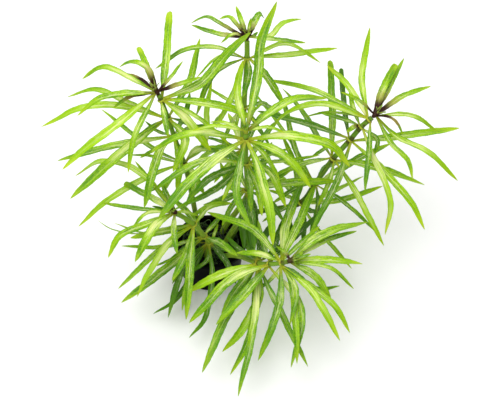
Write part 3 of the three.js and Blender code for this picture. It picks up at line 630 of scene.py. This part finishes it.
def addBud(shape, whorl, axis, seed, youth):
    # The heart of a shoot: an upright oval body with small young leaves that lean ever further out round
    # it, each a slim leaf of its own.
    form, centre = budForm, whorl["node"]
    first, second = crossAxes(axis)
    turn = circle(form["around"])[None, :]
    rise = np.linspace(-form["end"], form["end"], form["rows"])[:, None]
    swell = form["radius"] * np.sqrt(1 - rise * rise)
    rings = carried(centre + axis * (rise * form["height"] / 2), first, second,
                    swell * np.cos(turn), swell * np.sin(turn))
    shape.tube(rings, form["across"], form["along"], tone=0.0, youth=youth, under=0.0)

    form = scaleForm
    chance = np.random.default_rng(seed)
    along = np.linspace(0, 1, form["stations"])[:, None]
    loop = circle(form["section"])[None, :]
    for number in range(form["count"]):
        angle = form["turn"] * number
        lean = form["lean"] + form["leanMore"] * number
        way = first * math.cos(angle) + second * math.sin(angle)
        length = chance.uniform(*form["length"])
        tip = centre + axis * length * math.cos(lean) + way * length * math.sin(lean)
        belly = way * (form["bellyOut"] + length * form["bellyMore"])
        middle = centre + axis * length * form["bellyUp"] + belly
        path = smoothPath([centre + way * form["root"], middle, tip], form["stations"])
        forward = headings(path)
        aside = unit(np.cross(forward, axis * form["faceUp"] - way))
        half = form["wide"] / 2 * (0.5 + 0.5 * np.sin(math.pi * np.minimum(along * form["swell"], 1)))
        half = half * (1 - along ** 4) + form["end"]
        height = form["thick"] * np.sin(loop) + form["cup"] * np.cos(loop) ** 2
        rings = carried(path, aside, np.cross(aside, forward), -half * np.cos(loop), height)
        shape.tube(rings, 0.5 - 0.5 * np.cos(loop), 0.5 * along, tone=form["tone"], youth=youth, under=0.0)


stemForm = dict(sides=20, step=1.2, taper=0.82, node=0.16, nodeLength=2.2, depth=12, top=25, slim=0.93,
                points=400, every=8, ridges=4, ridge=0.025, jointLength=4.5, streakLength=40)


def stemPath(shoot):
    # up out of the growing medium, then through the bends and nodes of the shoot
    form = stemForm
    foot = [*shoot["foot"], form["top"] - form["depth"]]
    ground = [*shoot["foot"], form["top"]]
    bends = [placeInSight(place, depth) for place, depth in shoot["bends"]]
    return smoothPath([foot, ground, *bends, *(whorl["node"] for whorl in shoot["whorls"])], form["points"])


def makeWhorls(shoot, path, number, material):
    # each node's leaves grow from a ring round the stem, and those of the crown from the bud at its end
    for order, whorl in enumerate(shoot["whorls"]):
        shape = Shape()
        nearest = int(np.argmin(np.linalg.norm(path - whorl["node"], axis=1)))
        axis = headings(path)[nearest]
        share = nearest / (len(path) - 1)
        seed = 100 * number + 10 * order
        if whorl["name"] == "crown":
            addBud(shape, whorl, axis, seed, shoot["heart"])
            reach, youth, slot = budForm["root"] * budForm["radius"], budForm["leafYouth"], "crown"
        else:
            inner = shoot["radius"] * (1 - (1 - stemForm["taper"]) * share) + ringForm["gap"]
            addRing(shape, whorl, axis, inner)
            reach, youth, slot = inner - ringForm["sunk"], ringForm["leafYouth"], "leaf"
        for place, row in enumerate(whorl["leaves"]):
            addLeaf(shape, row, leafPath(row, whorl, axis, reach), 1000 + 37 * seed + place, youth,
                    shoot["shadeTint"])
        node = shoot["name"] + "_" + whorl["name"]
        shape.piece(node + "_leaves", material, slot, node)


def makeStem(shoot, path, material):
    # A round section carried up the stem's path. Its radius tapers evenly and swells by a bell curve at
    # every node; shallow ridges run along it.
    form = stemForm
    length = stretches(path).sum()
    top = 1 - ringForm["gap"] / length
    whole = smoothPath(path[::form["every"]], int(length / form["step"]))
    path = whole[: int(top * len(whole)) + 1]
    first, second = crossAxes(headings(path))
    share = np.linspace(0, top, len(path))[:, None]
    apart = [np.linalg.norm(path - whorl["node"], axis=1) for whorl in shoot["whorls"]]
    apart = np.stack(apart).min(axis=0)[:, None]
    swell = np.exp(-(apart / form["nodeLength"]) ** 2)
    turn = circle(form["sides"])[None, :]
    radius = shoot["radius"] * (1 - (1 - form["taper"]) * share) * form["slim"]
    radius = radius * (1 + form["ridge"] * np.cos(form["ridges"] * turn)) + form["node"] * swell
    rings = carried(path, first, second, radius * np.cos(turn), radius * np.sin(turn))
    shape = Shape()
    shape.tube(rings, turn / (2 * math.pi), share * length / form["streakLength"],
               joint=np.exp(-(apart / form["jointLength"]) ** 2), height=share, paleness=shoot["pale"])
    shape.piece(shoot["name"] + "_green_stem", material, "stem", shoot["name"] + "_stem")


def ringShape(profile, around, bend=None):
    # A closed profile of (radius, height) turned round the upright axis. bend may move the points.
    turn = circle(around)[None, :]
    radius, height = profile[:, 0][:, None], profile[:, 1][:, None]
    rings = np.stack([radius * np.cos(turn), radius * np.sin(turn), height + 0 * turn], axis=-1)
    if bend is not None:
        bend(rings)
    shape = Shape()
    shape.tube(rings, turn / (2 * math.pi), np.linspace(0, 1, len(profile))[:, None])
    return shape


def roundedLine(corners, radius, steps):
    # Each corner (r, z) becomes a quadratic curve between points a rounding radius before and after it,
    # or just under half of the shorter side.
    corners = np.array(corners, float)
    line = [corners[:1]]
    t = np.linspace(0, 1, steps)[:, None]
    for before, here, after in zip(corners[:-2], corners[1:-1], corners[2:]):
        side = min(np.linalg.norm(here - before), np.linalg.norm(after - here))
        reach = min(radius, side / 2.05)
        start = here + unit(before - here) * reach
        end = here + unit(after - here) * reach
        line.append(start * (1 - t) ** 2 + here * 2 * t * (1 - t) + end * t * t)
    return np.vstack([*line, corners[-1:]])


potForm = dict(height=28.0, foot=19.5, footEdge=16.9, under=16.5, footRing=1.2, floor=2.0, mouth=22.6,
               wall=1.2, rim=24.0, rimHeight=3.0, rimSlope=0.2, rounding=0.55, steps=6, around=144)


def makePot(material):
    # The wall rises from a foot ring, leans out evenly and ends in a rim that is folded outwards.
    form = potForm
    foot, height, wall, floor = form["foot"], form["height"], form["wall"], form["floor"]
    rimBase = height - form["rimHeight"]
    lean = (form["mouth"] - foot) / height
    corners = [(0, form["footRing"]), (form["under"], form["footRing"]), (form["footEdge"], 0), (foot, 0),
               (foot + lean * rimBase, rimBase), (form["rim"], rimBase + form["rimSlope"]),
               (form["rim"], height), (form["mouth"] - wall, height), (foot - wall, floor), (0, floor)]
    profile = roundedLine(corners, form["rounding"], form["steps"])
    ringShape(profile, form["around"]).piece("black_pot", material, "pot", "pot")


mediumForm = dict(bottom=2.2, foot=17.5, side=20.6, shoulder=20.0, shoulderHeight=20.5, edge=20.5, top=24.1,
                  dome=1.5, lumps=0.66, lumpSizes=((5.0, 1), (2.1, 0.5), (0.9, 0.28), (0.45, 0.14)),
                  firstSeed=3, around=180, rows=70)


def roughness(x, y, size, seed):
    # Value noise: random heights on a square lattice, joined by smooth steps between its points.
    lattice = 64
    heights = np.random.default_rng(seed).uniform(-1, 1, (lattice, lattice))
    x, y = x / size + lattice / 2, y / size + lattice / 2
    column, row = np.floor(x).astype(int), np.floor(y).astype(int)
    across, up = x - column, y - row
    across, up = across * across * (3 - 2 * across), up * up * (3 - 2 * up)
    corner = [heights[(row + j) % lattice, (column + i) % lattice] for j in (0, 1) for i in (0, 1)]
    low = corner[0] * (1 - across) + corner[1] * across
    high = corner[2] * (1 - across) + corner[3] * across
    return low * (1 - up) + high * up


def mediumHeight(x, y):
    # a low dome with lumps of four sizes, which die down towards its edge
    form = mediumForm
    out = np.minimum(np.hypot(x, y) / form["side"], 1)
    lumps = sum(share * roughness(x, y, size, form["firstSeed"] + number)
                for number, (size, share) in enumerate(form["lumpSizes"]))
    return form["top"] - form["dome"] * out ** 3 + form["lumps"] * lumps * (1 - 0.5 * out ** 8)


def makeMedium(material):
    # A plug between its foot and its shoulder, closed by the lumpy top. The rows of the top lie closer
    # together towards the edge.
    form = mediumForm
    side = [(form["foot"], form["bottom"]), (form["shoulder"], form["shoulderHeight"])]
    out = np.linspace(1, 0, form["rows"])[:-1] ** 0.8 * form["edge"]

    def lay(rings):
        top = rings[len(side):]
        top[..., 2] = mediumHeight(top[..., 0], top[..., 1])
    profile = np.vstack([side, np.stack([out, 0 * out], axis=1)])
    ringShape(profile, form["around"], lay).piece("dark_growing_medium", material, "medium",
                                                  "growing_medium")


strandForm = dict(count=140, radius=(0.1, 0.42), length=(7.0, 26.0), stations=18, sides=6, reach=18.6,
                  seed=41, fullTurn=6.28, curl=2.6, sway=0.5, swayRate=6, lift=(0.3, 2.4), sit=0.6, thin=0.6)


def makeStrands(material):
    # Fibres and fine roots on the growing medium: a thin round section along a curve that keeps turning,
    # laid on the surface and lifted off it a little in the middle.
    form = strandForm
    chance = np.random.default_rng(form["seed"])
    shape = Shape()
    turn = circle(form["sides"])[None, :]
    t = np.linspace(0, 1, form["stations"])
    for number in range(form["count"]):
        away = chance.uniform(0, 1) ** 0.5 * form["reach"]
        angle, heading = chance.uniform(0, form["fullTurn"]), chance.uniform(0, form["fullTurn"])
        length, radius = chance.uniform(*form["length"]), chance.uniform(*form["radius"])
        curl, lift = chance.uniform(-form["curl"], form["curl"]), chance.uniform(*form["lift"]) ** 2
        way = heading + curl * t + form["sway"] * np.sin(form["swayRate"] * t + angle)
        step = length / form["stations"]
        x = away * math.cos(angle) + np.cumsum(np.cos(way)) * step
        y = away * math.sin(angle) + np.cumsum(np.sin(way)) * step
        squeeze = np.minimum(1, form["reach"] / np.maximum(np.hypot(x, y), 1e-6))
        x, y = x * squeeze, y * squeeze
        z = mediumHeight(x, y) + radius * form["sit"] + lift * np.sin(math.pi * t) ** 2
        path = smoothPath(np.stack([x, y, z], axis=1), form["stations"] * 2)
        first, second = crossAxes(headings(path))
        thin = radius * (1 - form["thin"] * np.linspace(-1, 1, len(path))[:, None] ** 4)
        rings = carried(path, first, second, thin * np.cos(turn), thin * np.sin(turn))
        shape.tube(rings, turn / form["fullTurn"], np.linspace(0, 1, len(path))[:, None],
                   tone=chance.uniform(0, 1))
    shape.piece("medium_fibres", material, "medium", "growing_medium")


class Wire:
    # a shader socket: sums on it are written as Python and become Math nodes
    def __init__(self, finish, socket):
        self.finish, self.socket = finish, socket

    def out(self, name):
        return Wire(self.finish, self.socket.node.outputs[name])

    def math(self, operation, *others):
        return self.finish.node("Math", dict(operation=operation), dict(enumerate([self, *others])))

    def __rsub__(self, other):
        return self.finish.node("Math", dict(operation="SUBTRACT"), {0: other, 1: self})

    __add__ = __radd__ = partialmethod(math, "ADD")
    __mul__ = __rmul__ = partialmethod(math, "MULTIPLY")
    __sub__ = partialmethod(math, "SUBTRACT")
    __abs__ = partialmethod(math, "ABSOLUTE")
    sine, cosine = partialmethod(math, "SINE"), partialmethod(math, "COSINE")


class Finish:
    # one material: node() adds any node, and the methods under it are short forms for those used most
    def __init__(self, name):
        self.material = bpy.data.materials.new(name)
        self.material.use_nodes = True
        self.tree = self.material.node_tree
        self.tree.nodes.clear()

    def node(self, kind, settings, sockets, out=0):
        made = self.tree.nodes.new("ShaderNode" + kind)
        for key, value in settings.items():
            setattr(made, key, value)
        for key, value in sockets.items():
            if isinstance(value, Wire):
                self.tree.links.new(value.socket, made.inputs[key])
            else:
                made.inputs[key].default_value = value
        return Wire(self, made.outputs[out])

    def value(self, name):
        return self.node("Attribute", dict(attribute_name=name), {}, out="Fac")

    def across(self):
        # the piece's own UV: X across a leaf or round a stem, Y along it
        return self.node("SeparateXYZ", {}, {0: self.node("UVMap", dict(uv_map="leafUV"), {})})

    def vector(self, x, y, z):
        return self.node("CombineXYZ", {}, {0: x, 1: y, 2: z})

    def step(self, value, start, end):
        # rises smoothly from 0 at the start to 1 at the end
        return self.node("MapRange", dict(interpolation_type="SMOOTHSTEP"),
                         {"Value": value, "From Min": start, "From Max": end})

    def noise(self, vector, scale, detail=2.0, rough=0.5):
        return self.node("TexNoise", {}, {"Vector": vector, "Scale": scale, "Detail": detail,
                                          "Roughness": rough})

    def grain(self, scale, detail=2.0, rough=0.5):
        # noise in the space of the piece
        return self.noise(self.node("TexCoord", {}, {}, out="Object"), scale, detail, rough)

    def mix(self, share, first, second):
        return self.node("Mix", dict(data_type="RGBA"), {0: share, 6: first, 7: second}, out=2)

    def bump(self, height, distance, strength):
        return self.node("Bump", {}, {"Height": height, "Distance": distance, "Strength": strength})

    def surface(self, **sockets):
        named = {key.replace("_", " "): value for key, value in sockets.items()}
        shader = self.node("BsdfPrincipled", {}, named)
        output = self.tree.nodes.new("ShaderNodeOutputMaterial")
        self.tree.links.new(shader.socket, output.inputs["Surface"])
        return self.material


def paint(red, green, blue):
    # a colour as it shows on a screen, 0 to 255, turned into the linear values of a shader
    shares = [level / 255 for level in (red, green, blue)]
    linear = [s / 12.92 if s <= 0.04 else ((s + 0.055) / 1.055) ** 2.4 for s in shares]
    return (*linear, 1.0)


# the colours of a leaf, among them a painted sheen, painted glints, a painted highlight on the midrib and
# painted shade
leafPaint = dict(dull=paint(78, 134, 0), lit=paint(166, 207, 0), paintedSheen=paint(242, 245, 168),
                 oldAndShaded=paint(62, 100, 8), outer=paint(68, 138, 6), paintedGlint=paint(236, 240, 196),
                 edge=paint(84, 148, 4), midribSheen=paint(236, 243, 168), under=paint(130, 166, 52),
                 tip=paint(186, 208, 30), foot=paint(190, 186, 44), fleck=paint(160, 96, 20),
                 tan=paint(150, 136, 66), brown=paint(52, 24, 12))


def leafFinish():
    # Fresh green that varies from leaf to leaf, with painted light and shade: a painted cream-green
    # sheen and painted glints where the blade arches, painted shade towards its end and edges and on
    # shaded leaves, a pale midrib with a painted highlight, fine streaks and a yellow tip and foot.
    # Young leaves have a purple-brown foot. The underside is duller. Each mix lays one more layer over
    # the colour so far.
    finish, hue = Finish("fresh_leaf"), leafPaint
    uv = finish.across()
    across, along = uv.out("X"), uv.out("Y")
    tone, youth, under = finish.value("tone"), finish.value("youth"), finish.value("under")
    fromMiddle = abs(across - 0.5) * 2
    patch = finish.noise(finish.vector(across * 0.7, along * 2.3, tone * 9), 1.0) - 0.5
    streak = finish.noise(finish.vector(across * 15, along * 3.2, tone * 7), 1.0, 4.0, 0.65) - 0.5
    mottle = finish.grain(1100.0) - 0.5
    fine = finish.grain(1600.0)
    # the arch of the blade, where the painted sheen, painted glints and painted midrib highlight fall
    arch = 1 - finish.step(abs(along - 0.36 + patch * 0.7), 0.05, 0.42)

    # lighter and darker patches and streaks at random, with painted shade on deep, dark and shaded leaves
    # and a little towards the edges
    light = patch * 1.6 + tone * 0.52 + streak * 2.6 + mottle * 1.3 - fromMiddle * 0.1 + 0.05
    colour = finish.mix(finish.step(light, -0.5, 0.45), hue["dull"], hue["lit"])
    # painted sheen: a cream-green highlight on the arch, towards the middle of the blade and stronger on
    # pale leaves
    paintedSheen = arch * 0.4 + patch * 3.0 + streak * 2.0 + tone * 0.3 - fromMiddle * 0.25
    colour = finish.mix(finish.step(paintedSheen, 0.25, 1.3) * 0.95, colour, hue["paintedSheen"])
    # the dark green of old leaves, with painted shade on leaves in deep shade and on shaded leaves
    oldAndShaded = finish.step(tone * -1, 0.45, 1.6)
    colour = finish.mix(oldAndShaded * 0.75, colour, hue["oldAndShaded"])
    # painted shade: deeper green towards the end of the blade, less on old and shaded leaves
    outer = finish.step(along + patch * 0.5, 0.5, 0.85)
    colour = finish.mix(outer * (1 - oldAndShaded * 0.9) * 0.3, colour, hue["outer"])
    # painted glints: small near-white highlights on the arch, towards the middle of the blade
    paintedGlint = finish.noise(finish.vector(across * 22, along * 14, tone * 5), 1.0)
    paintedGlint = finish.step(paintedGlint, 0.54, 0.66) * arch * (1 - fromMiddle)
    colour = finish.mix(paintedGlint * 0.75, colour, hue["paintedGlint"])
    # painted shade: darker green along both edges of the blade
    edge = finish.step(fromMiddle, 0.8, 1.0)
    colour = finish.mix(edge * 0.5, colour, hue["edge"])
    # the pale midrib, with a painted highlight where the blade arches
    midribSheen = (1 - finish.step(fromMiddle, 0.03, 0.2)) * (1 - along * 0.6)
    midribSheen = midribSheen * (arch * 0.5 + 0.15) * (streak * 1.4 + 0.9) * (1 - oldAndShaded * 0.9)
    colour = finish.mix(midribSheen, colour, hue["midribSheen"])
    colour = finish.mix(under * 0.35, colour, hue["under"])

    tip = finish.step(along + patch * 0.3, 0.74, 1.0)
    colour = finish.mix(tip * (0.5 + tone * 0.35), colour, hue["tip"])
    foot = 1 - finish.step(along + patch * 0.08, 0.03, 0.14)
    colour = finish.mix(foot * (1 - youth) * 0.6, colour, hue["foot"])
    fleck = finish.step(finish.grain(700.0, 3.0), 0.56, 0.66)
    colour = finish.mix(fleck * foot * 0.5, colour, hue["fleck"])
    tan = finish.step(youth * 0.42 - along + streak * 0.2, -0.08, 0.16) * youth
    colour = finish.mix(tan * 0.6, colour, hue["tan"])
    brown = finish.step(youth * brownReach - along + streak * 0.22, -0.08, 0.08)
    colour = finish.mix(brown * finish.step(youth, 0.3, 0.8), colour, hue["brown"])

    vein = (across * 60).sine() * 0.5 + 0.5
    grain = vein * 0.3 + streak * 1.0 + fine * 0.3
    return finish.surface(
        Base_Color=colour, Roughness=0.36 + streak * 0.25 + under * 0.16,
        Normal=finish.bump(grain, 0.00016, 0.8), Subsurface_Weight=0.15,
        Subsurface_Radius=(0.6, 1.0, 0.1), Subsurface_Scale=0.0010, Specular_IOR_Level=0.18)


stemPaint = dict(dark=paint(52, 92, 16), pale=paint(136, 166, 44), top=paint(108, 156, 38),
                 joint=paint(64, 38, 20), fleck=paint(176, 150, 70))


def stemFinish():
    # Olive green with long streaks, fresher toward the top and purple-brown at every node.
    finish, hue = Finish("olive_stem"), stemPaint
    uv = finish.across()
    around, along = uv.out("X") * (2 * math.pi), uv.out("Y")
    joint, height = finish.value("joint"), finish.value("height")
    paleness = finish.value("paleness")
    streak = finish.noise(finish.vector(around.sine() * 3, along * 3, around.cosine() * 3), 2.0, 3.0)
    blotch = finish.grain(260.0, 4.0, 0.6) - 0.5
    green = finish.step(streak + paleness * 0.3, 0.35, 0.75)
    colour = finish.mix(green, hue["dark"], hue["pale"])
    colour = finish.mix(finish.step(height, 0.45, 0.95) * 0.6, colour, hue["top"])
    brown = finish.step(joint * 0.8 - paleness * 0.3 + blotch * 2.0, 0.4, 0.9)
    colour = finish.mix(brown * 0.75, colour, hue["joint"])
    fleck = finish.step(finish.grain(900.0), 0.62, 0.7)
    colour = finish.mix(fleck * 0.35, colour, hue["fleck"])
    return finish.surface(
        Base_Color=colour, Roughness=0.46 + blotch * 0.2, Specular_IOR_Level=0.15,
        Subsurface_Weight=0.1, Subsurface_Radius=(0.6, 1.0, 0.2), Subsurface_Scale=0.0015,
        Normal=finish.bump(streak + blotch * 0.4, 0.0002, 0.7))


def potFinish():
    # Black moulded plastic: a soft gloss, fine grain and faint dull patches of dried water.
    finish = Finish("black_plastic")
    grain = finish.grain(2600.0)
    dried = finish.step(finish.grain(110.0, 5.0, 0.62), 0.52, 0.72)
    colour = finish.mix(dried * 0.4, paint(3, 4, 3), paint(11, 12, 11))
    return finish.surface(Base_Color=colour, Roughness=0.4 + dried * 0.2 + (grain - 0.5) * 0.12,
                          Specular_IOR_Level=0.03, Normal=finish.bump(grain, 0.00006, 0.6))


def mediumFinish():
    # Damp dark wool: nearly black in its hollows, dark olive grey on its lumps, with paler grit.
    finish = Finish("damp_wool")
    lump = finish.grain(330.0, 5.0, 0.65)
    grit = finish.grain(1500.0, 3.0)
    colour = finish.mix(finish.step(lump, 0.4, 0.74), paint(4, 6, 3), paint(18, 24, 12))
    colour = finish.mix(finish.step(grit, 0.6, 0.74) * 0.4, colour, paint(48, 54, 30))
    return finish.surface(Base_Color=colour, Roughness=0.75 - finish.step(lump, 0.5, 0.3) * 0.25,
                          Specular_IOR_Level=0.1, Normal=finish.bump(lump + grit * 0.5, 0.0006, 0.9))


def strandFinish():
    # Fibres from dark green to olive, with darker flecks.
    finish = Finish("straw_fibre")
    tone = finish.value("tone")
    grit = finish.grain(1200.0)
    colour = finish.mix(finish.step(tone, 0.35, 1.0), paint(16, 34, 12), paint(78, 112, 44))
    colour = finish.mix(finish.step(grit, 0.45, 0.65) * 0.5, colour, paint(34, 52, 22))
    return finish.surface(Base_Color=colour, Roughness=0.6 + (grit - 0.5) * 0.2,
                          Normal=finish.bump(grit, 0.0001, 0.6))


leafMaterial = leafFinish()
stemMaterial = stemFinish()
print("materials made")

makePot(potFinish())
makeMedium(mediumFinish())
makeStrands(strandFinish())
print("pot filled")

for number, shoot in enumerate(shoots):
    path = stemPath(shoot)
    makeStem(shoot, path, stemMaterial)
    makeWhorls(shoot, path, number, leafMaterial)
    print(shoot["name"], "grown:", sum(len(whorl["leaves"]) for whorl in shoot["whorls"]), "leaves")


def makeStage():
    # a wide pale floor under the pot
    reach = 3.0
    floor = bpy.data.meshes.new("pale_floor")
    corners = [(-reach, -reach, 0), (reach, -reach, 0), (reach, reach, 0), (-reach, reach, 0)]
    floor.from_pydata(corners, [], [(0, 1, 2, 3)])
    finish = Finish("pale_floor")
    cloud = finish.grain(6.0)
    floor.materials.append(finish.surface(
        Base_Color=finish.mix(cloud, paint(249, 249, 248), paint(252, 252, 251)), Roughness=0.9))
    made = addObject("pale_floor", floor)


def makeCamera():
    # at the eye of the layout, with the lens that shows the picture's width at its distance
    filmWidth = 36.0
    camera = bpy.data.cameras.new("camera")
    camera.sensor_width = filmWidth
    camera.lens = filmWidth * sight["distance"] / (sight["pictureWidth"] * sight["pixel"])
    camera.clip_start, camera.clip_end = 0.01, 20
    made = addObject("camera", camera)
    turned = Matrix([(1, 0, 0), sightUp.tolist(), towardEye.tolist()]).transposed().to_4x4()
    made.matrix_world = Matrix.Translation((eye * metre).tolist()) @ turned
    bpy.context.scene.camera = made


lightForm = dict(aim=(0.02, 0, 0.08), size=0.9, key=8.2, back=3.6, world=0.6)


def makeLight(name, place, power):
    # a square soft light that faces the plant
    lamp = bpy.data.lights.new(name, "AREA")
    lamp.size, lamp.energy = lightForm["size"], power
    made = addObject(name, lamp)
    made.location = place
    made.rotation_euler = (Vector(place) - Vector(lightForm["aim"])).to_track_quat("Z", "Y").to_euler()


makeStage()
makeCamera()
makeLight("key_light", (-0.35, -0.3, 0.95), lightForm["key"])
makeLight("back_light", (0.4, 0.6, 0.8), lightForm["back"])

world = bpy.data.worlds.new("studio")
bpy.context.scene.world = world
world.use_nodes = True
world.node_tree.nodes["Background"].inputs["Color"].default_value = (1.0, 1.0, 1.0, 1.0)
world.node_tree.nodes["Background"].inputs["Strength"].default_value = lightForm["world"]
bpy.context.scene.view_settings.view_transform = "Standard"
print("camera, lights and floor set")
